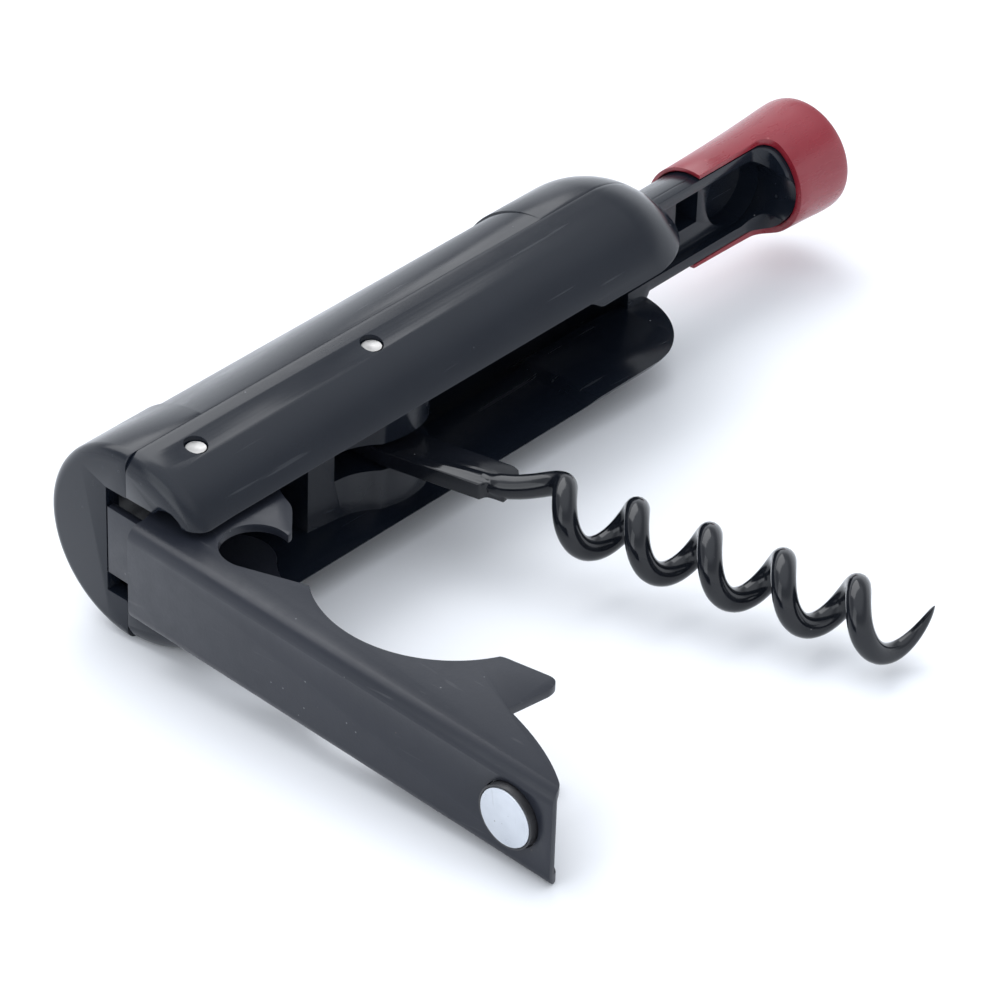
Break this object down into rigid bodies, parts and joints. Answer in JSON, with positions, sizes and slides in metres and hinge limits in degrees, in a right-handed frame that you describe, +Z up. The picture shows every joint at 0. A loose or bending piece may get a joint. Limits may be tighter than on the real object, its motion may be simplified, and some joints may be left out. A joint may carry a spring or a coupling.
{
  "type": "lever corkscrew",
  "caption": "Bottle-shaped pocket corkscrew with a folding wire worm and a folding steel lever that has a cap lifter, a beak and a magnet.",
  "frame": {"origin": "under the middle of the whole tool as it lies open, on the surface it lies on", "axes": "+X along the bottle from its flat base to its cap, +Z up; the mouth and the open lever point to -Y, and the tool is rolled 5.36 degrees about X towards the lever, as it lies"},
  "size_m": [0.1264, 0.086, 0.0255],
  "materials": {
    "black_shell": "satin moulded ABS",
    "red_cap": "semi-gloss deep red",
    "pin_steel": "cut steel wire ends",
    "lever_coat": "satin charcoal coat on pressed steel",
    "worm_coat": "glossy black coat on steel wire",
    "holder_black": "black moulded cup",
    "magnet_plate": "bright nickel plate"
  },
  "bodies": {
    "handle": {"rear_shell": "black_shell", "front_shell": "black_shell", "cap_sleeve": "red_cap", "lever_pin": "pin_steel", "worm_pin": "pin_steel"},
    "lever": {"lever_channel": "lever_coat", "magnet_holder": "holder_black", "magnet": "magnet_plate"},
    "worm_arm": {"worm": "worm_coat"}
  },
  "joints": [
    {"name": "lever_fold", "type": "hinge", "parent": "handle", "child": "lever", "pos_m": [-0.04912, 0.02691, 0.01245], "axis": [0, -0.0934, 0.9956], "range_deg": [0, 91.9]},
    {"name": "worm_fold", "type": "hinge", "parent": "handle", "child": "worm_arm", "pos_m": [-0.02052, 0.02691, 0.01245], "axis": [0, -0.0934, 0.9956], "range_deg": [0, 77.3]}
  ],
  "couplings": [
    {"joint": "worm_fold", "follows": "lever_fold", "ratio": 0.8411}
  ]
}
